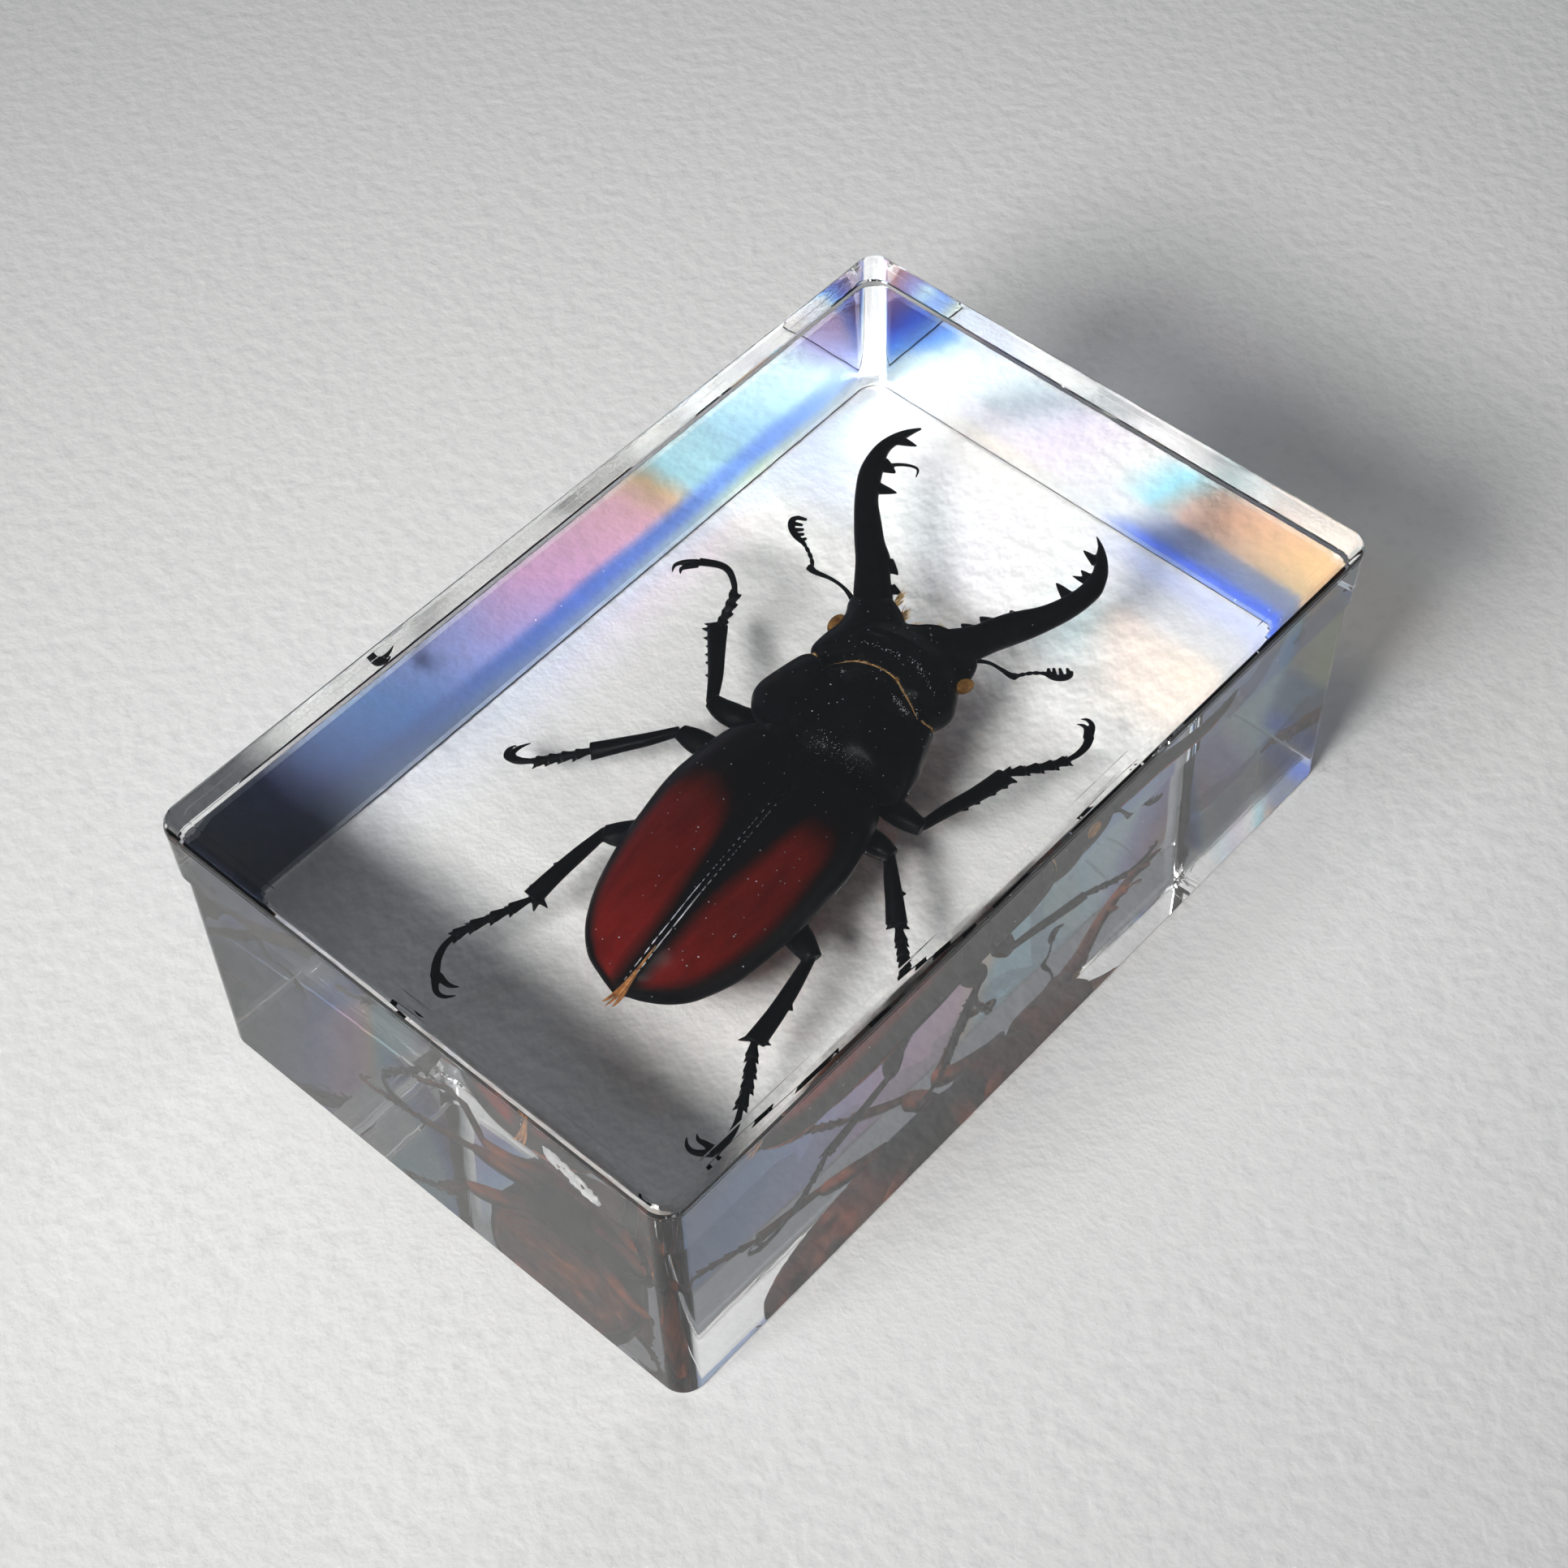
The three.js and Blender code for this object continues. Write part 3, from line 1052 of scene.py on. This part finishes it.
def bubbles(clinging):
    """Specks on the upper surfaces of pieces, by (name, count), a few in the resin, and the glints, which
    paint highlights.
    """
    rng = random.Random(5)
    shape = Shape()
    for name, count in clinging:
        piece = bpy.data.objects[name]
        corners = [Vector(c) for c in piece.bound_box]
        low, high = corners[0], corners[6]
        for _ in range(count):
            x = rng.uniform(low.x, high.x)
            y = rng.uniform(low.y, high.y)
            hit, at, normal, _ = piece.ray_cast(Vector((x, y, 30 * MM)), DOWN)
            if hit:
                size = rng.choice((0.04, 0.05, 0.06, 0.09))
                shape.ball(at / MM + normal * size * 0.6, (size, size, size * 0.8), rings=5, sides=7)
    for _ in range(60):
        at = (rng.uniform(-48, 48), rng.uniform(-31, 31), rng.uniform(8, 34))
        size = rng.choice((0.04, 0.05, 0.07))
        shape.ball(at, (size, size, size), rings=5, sides=7)
    # Painted highlights: pale specks of the trapped-air material on the pronotum and head.
    for name, (x0, y0), (x1, y1), width, count, size in GLINTS:
        target = bpy.data.objects[name]
        for _ in range(count):
            share = rng.random()
            x = x0 + (x1 - x0) * share + rng.gauss(0, width)
            y = y0 + (y1 - y0) * share + rng.gauss(0, width)
            at = seen(x, y, 23.0)
            hit, at, normal, _ = target.ray_cast(Vector((at.x, at.y, 30)) * MM, DOWN)
            if hit and normal.z > 0.3:
                big = size * rng.uniform(0.6, 1.4)
                shape.ball(at / MM, (big * 1.4, big, big * 0.5), rng.uniform(0, 3), rings=4, sides=6)
    build("bubbles", shape, AIR)


CHIP_DEPTH = 0.95


def white_chip():
    """A crumbly white flake cast in just behind the end face, under the rim."""
    rng = random.Random(3)
    shape = Shape()
    count = 90
    for k in range(count):
        share = k / (count - 1)
        y = -19.0 - 6.6 * share
        half = 1.25 * math.sqrt(1.0 - (2 * share - 1) ** 4) + 0.1
        z = 32.7 - 2.0 * share + rng.uniform(-half, half)
        radii = (rng.uniform(0.2, 0.4), rng.uniform(0.22, 0.55), rng.uniform(0.22, 0.6))
        shape.ball((LOW[0] + CHIP_DEPTH, y + rng.uniform(-0.2, 0.2), z), radii, rings=8, sides=12)
    fuse(build("white_chip", shape, CHIP), FINE_VOXEL, smoothing=1)


# ---------------------------------------------------------------- block

CORNER_RADIUS = 2.6
FOOT_INSET = 1.15
FOOT_RADIUS = 0.2
SEAM_LEVEL = 29.8
SEAM_INSET = 0.72
UPPER_INSET = 0.30
RIM_RADIUS = 1.3
RIM_FACETS = (13, 34, 56, 77)
RIM_HALF_FACET = 7
TOP_STEP = 0.06
FILM_THICKNESS = 0.10
FILM_DEPTH = 0.35
FILM_END = 3.4


def wall_profile():
    """Levels of the wall from the foot up: (height, inset of the corners' centres, cut of the radius, tilt).

    The block was cast in two layers in a tapered mould. The lower wall leans out upwards to a seam, over
    which the thinner upper layer stands proud, up to a rim of four narrow facets and a low raised top.
    """
    draft = math.atan((FOOT_INSET - SEAM_INSET) / SEAM_LEVEL)
    rim = BLOCK_TOP - TOP_STEP - RIM_RADIUS
    lean = math.atan((UPPER_INSET - 0.03) / (rim - SEAM_LEVEL - 0.74))
    steep, overhang, ledge = math.radians(-50), math.radians(-40), math.radians(40)
    levels = []
    for k in range(6):
        tilt = -math.pi / 2 + (math.pi / 2 - draft) * k / 5
        rise, cut = FOOT_RADIUS * (1 + math.sin(tilt)), FOOT_RADIUS * (1 - math.cos(tilt))
        levels.append((rise, FOOT_INSET, cut, tilt))
    levels += [
        (SEAM_LEVEL - 0.2, SEAM_INSET, 0.0, -draft),
        (SEAM_LEVEL - 0.08, SEAM_INSET - 0.08, 0.0, steep),
        (SEAM_LEVEL + 0.12, UPPER_INSET + 0.06, 0.0, steep),
        (SEAM_LEVEL + 0.24, UPPER_INSET, 0.0, -lean),
        (rim - 0.50, 0.03, 0.0, -lean),
        (rim - 0.42, 0.08, 0.0, ledge),
        (rim - 0.30, 0.08, 0.0, overhang),
        (rim - 0.20, 0.0, 0.0, 0.0),
        (rim, 0.0, 0.0, 0.0),
    ]
    for facet in RIM_FACETS:
        for edge in (-RIM_HALF_FACET, RIM_HALF_FACET):
            tilt = math.radians(facet + edge)
            rise, cut = RIM_RADIUS * math.sin(tilt), RIM_RADIUS * (1 - math.cos(tilt))
            levels.append((rim + rise, 0.0, cut, math.radians(facet)))
    top = math.pi / 2
    levels += [
        (BLOCK_TOP - TOP_STEP, 0.0, RIM_RADIUS, top),
        (BLOCK_TOP - TOP_STEP, 0.7, RIM_RADIUS, top),
        (BLOCK_TOP - TOP_STEP / 2, 0.78, RIM_RADIUS, math.radians(65)),
        (BLOCK_TOP, 0.86, RIM_RADIUS, top),
    ]
    return levels


def resin_block():
    """The cast block, with exact normals, so that its large faces stay optically flat."""
    corner_steps = 14
    levels = wall_profile()
    verts, normals, faces = [], [], []
    count = 4 * (corner_steps + 1)
    for z, inset, cut, tilt in levels:
        half_x = HIGH[0] - CORNER_RADIUS - inset
        half_y = HIGH[1] - CORNER_RADIUS - inset
        for quarter, (sx, sy) in enumerate(((1, 1), (-1, 1), (-1, -1), (1, -1))):
            for k in range(corner_steps + 1):
                a = math.pi / 2 * (quarter + k / corner_steps)
                out = Vector((math.cos(a), math.sin(a), 0.0))
                corner = Vector((sx * half_x, sy * half_y, z))
                verts.append((corner + out * (CORNER_RADIUS - cut)) * MM)
                normals.append(out * math.cos(tilt) + Vector((0.0, 0.0, math.sin(tilt))))
    for r in range(len(levels) - 1):
        for i in range(count):
            j = (i + 1) % count
            faces.append((r * count + i, r * count + j, (r + 1) * count + j, (r + 1) * count + i))
    last = (len(levels) - 1) * count
    faces.append(tuple(range(count))[::-1])
    faces.append(tuple(range(last, last + count)))
    mesh = bpy.data.meshes.new("clear_block")
    mesh.from_pydata(verts, [], faces)
    mesh.shade_smooth()
    mesh.normals_split_custom_set_from_vertices(normals)
    mesh.materials.append(RESIN)
    piece = bpy.data.objects.new("clear_block", mesh)
    bpy.context.scene.collection.objects.link(piece)
    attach(piece, "root")
    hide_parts("resin_block")


def rainbow_light_film(name, material, wall, reach, lean):
    """Painted light: a hair-thin tinted film in the resin, just inside a wall, whose tints paint the rainbow
    colours that light shows there through casting stress, and whose grey tints paint shade.

    wall gives a point of the film from its place along the wall, its depth and its height.
    """
    columns, rows = 40, 12
    rings = []
    for k in range(columns + 1):
        share = 2 * k / columns - 1
        end = 2.5 * (1 - math.sqrt(1 - max(abs(share) - 0.95, 0.0) ** 2 * 399))
        low, high = 0.9 + end, SEAM_LEVEL - 0.9 - end
        outer = []
        inner = []
        for j in range(rows + 1):
            z = low + (high - low) * j / rows
            thick = FILM_THICKNESS * math.sqrt(max(1 - (2 * j / rows - 1) ** 6, 0.04))
            depth = lean * (SEAM_LEVEL - z)
            outer.append(wall(share * reach, depth - thick / 2, z))
            inner.append(wall(share * reach, depth + thick / 2, z))
        rings.append(outer + inner[::-1])
    build(name, Shape().rings(rings), material)


def rainbow_light_films():
    """The films of painted rainbow light inside the two far walls."""
    lean = (FOOT_INSET - SEAM_INSET) / SEAM_LEVEL
    gap = SEAM_INSET + FILM_DEPTH

    def far_side(place, depth, z):
        return Vector((place, HIGH[1] - gap - depth, z))

    def head_end(place, depth, z):
        return Vector((HIGH[0] - gap - depth, place, z))

    rainbow_light_film("stress_colours_side", RAINBOW_LIGHT_SIDE, far_side, HIGH[0] - FILM_END, lean)
    rainbow_light_film("stress_colours_end", RAINBOW_LIGHT_END, head_end, HIGH[1] - FILM_END, lean)


def resin_material():
    """Clear resin with a faint blue-green tint, whose side faces are very slightly wavy."""
    material, tree, shader = new_material("clear_resin")
    fill_in(tree, shader, {
        "Base Color": (1, 1, 1, 1), "Roughness": 0.0, "IOR": RESIN_IOR,
        "Transmission Weight": 1.0, "Specular IOR Level": 0.15,
    })
    facing = node(tree, "TexCoord").outputs["Normal"]
    upright = math_node(tree, "ABSOLUTE", node(tree, "SeparateXYZ", {"Vector": facing}).outputs["Z"])
    sides = span_node(tree, upright, 0.0, 1.0, 1.0, 0.0)
    wave = math_node(tree, "MULTIPLY", sides, noise_node(tree, 150, 1.0))
    fill_in(tree, shader, {"Normal": bump_node(tree, wave, 0.025)})
    tint = node(tree, "VolumeAbsorption", {"Color": RESIN_TINT, "Density": RESIN_DENSITY})
    tree.links.new(tint.outputs["Volume"], tree.nodes["Material Output"].inputs["Volume"])
    return material


CORNER_RUN = 14.0
BAND_WAVER = 9.0
BAND_SLANT = 0.45
ROW_WAVER = 5.0


def rainbow_light_material(name, axis, reach, rows, corner):
    """Painted bands of the interference colours of light: each row is (lowest height in mm, colour stops
    along the wall).

    The stops run over the wall, and the corner's colours follow them over the last few millimetres.
    """
    share = 2 * reach / (2 * reach + CORNER_RUN)
    material, tree, shader = new_material(name)
    split = node(tree, "SeparateXYZ", {"Vector": object_space(tree)}).outputs
    waver = noise_node(tree, 55, 4.0)
    bend = math_node(tree, "MULTIPLY_ADD", waver, BAND_WAVER * MM, split[axis])
    slant = math_node(tree, "MULTIPLY_ADD", split["Z"], BAND_SLANT, bend)
    run = span_node(tree, slant, -reach * MM, (reach + CORNER_RUN) * MM)
    rise = math_node(tree, "MULTIPLY_ADD", waver, ROW_WAVER * MM, split["Z"])
    colour = None
    for height, stops in rows:
        stops = [(position * share, tone) for position, tone in stops]
        stops += [(share + (1 - share) * position, tone) for position, tone in corner]
        row = ramp_node(tree, run, stops)
        if colour is None:
            colour = row
            continue
        step = span_node(tree, rise, (height + 1.0) * MM, (height + 4.5) * MM, kind="SMOOTHSTEP")
        colour = mix_node(tree, step, colour, row)
    fill_in(tree, shader, {"Base Color": colour, "Roughness": 0.0, "IOR": 1.0, "Transmission Weight": 1.0})
    return material


PAPER_WAVES = 480
# The step between two samples of the grain, whose difference paints the wrinkles' lit and shaded sides.
WRINKLE_STEP = (0.35 * MM, 0.08 * MM, 0.0)


def floor_material():
    """Pale wrinkled paper, greyer away from the block as a painted falloff of the light, with painted shade
    in its creases.

    Under the block the wrinkles are also painted in as light and shade, one side of each lighter and the
    other darker, because the bump hardly shows there.
    """
    material, tree, shader = new_material("pale_floor")
    place = object_space(tree)
    reach = node(tree, "VectorMath", {0: place}, operation="LENGTH").outputs["Value"]
    near = ramp_node(tree, noise_node(tree, 9), [(0.3, (0.895, 0.90, 0.90)), (0.7, (0.925, 0.928, 0.925))])
    # Painted shade: the paper greys away from the block, standing in for the light falling off.
    away = span_node(tree, reach, 20 * MM, 220 * MM, kind="SMOOTHSTEP")
    falloff_shaded_paper = mix_node(tree, away, near, (0.80, 0.803, 0.807))
    grain = noise_node(tree, PAPER_WAVES, 5.0)
    # Painted shade in the creases: darker where the grain is low.
    painted_crease_shade = span_node(tree, grain, 0.47, 0.33, 0.0, 0.28)
    paper = mix_node(tree, painted_crease_shade, falloff_shaded_paper, (0.74, 0.745, 0.75))
    # Painted light and shade of the wrinkles under the block: the grain's fall over a small step lightens one
    # side and darkens the other.
    shifted = node(tree, "VectorMath", {0: place, 1: WRINKLE_STEP}, operation="ADD").outputs["Vector"]
    slope = math_node(tree, "SUBTRACT", grain, noise_node(tree, PAPER_WAVES, 5.0, shifted))
    relief = span_node(tree, slope, -0.10, 0.10)
    painted_wrinkle_light_and_shade = mix_node(tree, relief, (0.77, 0.775, 0.77), (1.0, 1.0, 0.99))
    under = span_node(tree, reach, 68 * MM, 40 * MM, kind="SMOOTHSTEP")
    fill_in(tree, shader, {
        "Base Color": mix_node(tree, under, paper, painted_wrinkle_light_and_shade), "Normal": bump_node(tree, grain, 0.26),
        "Roughness": 0.85, "Specular IOR Level": 0.2,
    })
    return material


CHITIN = chitin_material()
ELYTRA = elytra_material()
EYE = toned_material("amber_eye", (0.10, 0.030, 0.006), (0.52, 0.24, 0.04), 700, 0.25, 0.3, 0.01)
WING = toned_material("amber_wing", (0.16, 0.045, 0.008), (0.50, 0.21, 0.05), 900, 0.4, 0.3, 0.02)
BRISTLE = toned_material("golden_bristle", (0.55, 0.24, 0.05), (0.95, 0.66, 0.30), 1200, 0.45, 0.4, 0.004)
CHIP = toned_material("white_chip", (0.70, 0.71, 0.72), (0.90, 0.90, 0.90), 800, 0.7, 0.3, 0.05)
AIR = toned_material("trapped_air", (0.55, 0.57, 0.60), (0.85, 0.87, 0.90), 1500, 0.25, 0.8, 0.004)
RESIN = resin_material()
# Painted light: the side film's rainbow tints by rows, grey at its tail end as painted shade.
SIDE_ROWS = (
    (0.0, [
        (0.0, (0.30, 0.30, 0.30)), (0.3, (0.42, 0.46, 0.54)), (0.55, (0.58, 0.66, 0.80)),
        (0.75, (0.72, 0.82, 0.86)), (0.86, (0.86, 0.92, 0.78)), (1.0, (0.86, 0.90, 0.96)),
    ]),
    (4.0, [
        (0.0, (0.36, 0.36, 0.36)), (0.22, (0.36, 0.39, 0.46)), (0.42, (0.42, 0.50, 0.70)),
        (0.60, (0.40, 0.53, 0.88)), (0.80, (0.46, 0.63, 0.96)), (1.0, (0.64, 0.75, 0.96)),
    ]),
    (11.0, [
        (0.0, (0.40, 0.38, 0.33)), (0.10, (0.44, 0.40, 0.34)), (0.18, (0.36, 0.38, 0.42)),
        (0.28, (0.36, 0.40, 0.56)), (0.40, (0.42, 0.55, 0.78)), (0.52, (0.66, 0.68, 0.94)),
        (0.62, (0.92, 0.72, 0.92)), (0.74, (1.0, 0.78, 0.86)), (0.775, (1.0, 0.86, 0.70)),
        (0.80, (0.68, 0.90, 0.97)), (1.0, (0.84, 0.96, 0.98)),
    ]),
)
SIDE_CORNER = [(0.3, (0.62, 0.62, 0.82)), (0.65, (0.62, 0.50, 0.62)), (1.0, (0.90, 0.66, 0.50))]
# Painted light: the end film's rainbow tints by rows.
END_ROWS = (
    (0.0, [
        (0.0, (0.40, 0.52, 0.95)), (0.50, (0.46, 0.58, 0.98)), (0.58, (0.95, 0.97, 1.0)),
        (0.8, (1.0, 0.97, 0.94)), (1.0, (0.95, 0.98, 1.0)),
    ]),
    (5.0, [
        (0.0, (0.56, 0.60, 0.68)), (0.50, (0.58, 0.62, 0.74)), (0.57, (0.96, 0.98, 1.0)),
        (0.75, (0.98, 0.95, 1.0)), (1.0, (0.95, 0.98, 1.0)),
    ]),
    (13.0, [
        (0.0, (1.0, 0.93, 0.78)), (0.25, (1.0, 0.87, 0.66)), (0.50, (0.92, 0.76, 0.70)),
        (0.56, (0.66, 0.92, 1.0)), (0.64, (1.0, 1.0, 1.0)), (0.76, (0.96, 0.93, 1.0)),
        (0.88, (0.90, 0.96, 1.0)), (1.0, (1.0, 1.0, 1.0)),
    ]),
)
END_CORNER = [
    (0.15, (0.90, 0.98, 1.0)), (0.3, (0.50, 0.70, 1.0)), (0.6, (0.36, 0.38, 0.66)), (1.0, (0.70, 0.55, 0.55)),
]
RAINBOW_LIGHT_SIDE = rainbow_light_material("stress_colours_side", "X", HIGH[0], SIDE_ROWS, SIDE_CORNER)
RAINBOW_LIGHT_END = rainbow_light_material("stress_colours_end", "Y", HIGH[1], END_ROWS, END_CORNER)


# ---------------------------------------------------------------- studio

FLOOR_GAP = 0.05
FLOOR_REACH = 1600.0
# The lamp is measured in metres and watts.
KEY_DISTANCE = 0.62
KEY_WIDTH = 0.30
KEY_HEIGHT = 0.22
KEY_POWER = 0.75
KEY_ELEVATION = math.radians(40)
KEY_TURN = math.radians(3)
KEY_COLOUR = (1.0, 0.99, 0.965)
KEY_AIM = Vector((165.0, 60.0, 0.0))
KEY_SPREAD = math.radians(70)
FILL_STRENGTH = 0.125
FILL_COLOUR = (0.92, 0.96, 1.0)
WINDOW_TOWARDS = (0.449, 0.424, 0.786)
WINDOW_EDGE = math.radians(32)
WINDOW_CORE = math.radians(16)
WINDOW_STRENGTH = 0.22
WINDOW_COLOUR = (0.86, 0.92, 1.0)
LIGHT_BOUNCES = 24


def paper_floor():
    """The pale sheet that the block stands on, a hair below it."""
    mesh = bpy.data.meshes.new("floor")
    signs = ((-1, -1), (1, -1), (1, 1), (-1, 1))
    corners = [Vector((sx * FLOOR_REACH, sy * FLOOR_REACH, -FLOOR_GAP)) * MM for sx, sy in signs]
    mesh.from_pydata(corners, [], [(0, 1, 2, 3)])
    mesh.materials.append(floor_material())
    floor = bpy.data.objects.new("floor", mesh)
    bpy.context.scene.collection.objects.link(floor)


def key_light():
    """One soft lamp beyond the tail end. It is aimed past the block, so that the floor is lit evenly."""
    lamp = bpy.data.lights.new("key", "AREA")
    lamp.shape = "ELLIPSE"
    lamp.size = KEY_WIDTH
    lamp.size_y = KEY_HEIGHT
    lamp.energy = KEY_POWER
    lamp.color = KEY_COLOUR
    lamp.spread = KEY_SPREAD
    level = math.cos(KEY_ELEVATION)
    towards = Vector((-level * math.cos(KEY_TURN), -level * math.sin(KEY_TURN), math.sin(KEY_ELEVATION)))
    key = bpy.data.objects.new("key", lamp)
    key.location = towards * KEY_DISTANCE
    key.rotation_euler = (key.location - KEY_AIM * MM).to_track_quat("Z", "Y").to_euler()
    bpy.context.scene.collection.objects.link(key)


def surroundings():
    """An even dim fill, a little brighter around one direction, as from a window."""
    world = bpy.data.worlds.new("fill")
    world.use_nodes = True
    bpy.context.scene.world = world
    tree = world.node_tree
    towards = node(tree, "TexCoord").outputs["Generated"]
    facing = node(tree, "VectorMath", {0: towards, 1: WINDOW_TOWARDS}, operation="DOT_PRODUCT")
    edge, core = math.cos(WINDOW_EDGE), math.cos(WINDOW_CORE)
    window = span_node(tree, facing.outputs["Value"], edge, core, kind="SMOOTHSTEP")
    fill = tuple(c * FILL_STRENGTH for c in FILL_COLOUR)
    bright = tuple(c * WINDOW_STRENGTH for c in WINDOW_COLOUR)
    fill_in(tree, tree.nodes["Background"], {"Color": mix_node(tree, window, fill, bright)})


def stand_camera():
    """The camera at the photograph's place, with the picture turned a little."""
    camera = bpy.data.cameras.new("camera")
    camera.lens = CAMERA_LENS
    camera.sensor_width = SENSOR_WIDTH
    camera.sensor_fit = "HORIZONTAL"
    forward = (CAMERA_AIM - CAMERA_AT).normalized()
    level = forward.cross(Vector((0, 0, 1))).normalized()
    lift = level.cross(forward)
    right = level * math.cos(CAMERA_ROLL) - lift * math.sin(CAMERA_ROLL)
    up = lift * math.cos(CAMERA_ROLL) + level * math.sin(CAMERA_ROLL)
    stand = bpy.data.objects.new("camera", camera)
    axes = Matrix((right, up, -forward)).transposed()
    stand.matrix_world = Matrix.Translation(CAMERA_AT * MM) @ axes.to_4x4()
    bpy.context.scene.collection.objects.link(stand)
    bpy.context.scene.camera = stand


def studio():
    """Floor, light and camera, and enough bounces to see through the resin."""
    paper_floor()
    key_light()
    surroundings()
    stand_camera()
    scene = bpy.context.scene
    scene.view_settings.view_transform = "Standard"
    scene.cycles.blur_glossy = 0.0
    scene.cycles.sample_clamp_indirect = 0.0
    scene.cycles.max_bounces = LIGHT_BOUNCES
    scene.cycles.transmission_bounces = LIGHT_BOUNCES


def main():
    objects = bpy.data.objects
    studio()
    resin_block()
    rainbow_light_films()
    elytra()
    underside()
    pronotum()
    head()
    scutellum_and_waist()
    eyes()
    jaws()
    antennae()
    legs()
    hindwing_tip()
    hairs(objects["pronotum"], objects["head"])
    trapped_air()
    bubbles((("left_elytron", 50), ("right_elytron", 50), ("pronotum", 60), ("head", 70)))
    white_chip()


main()
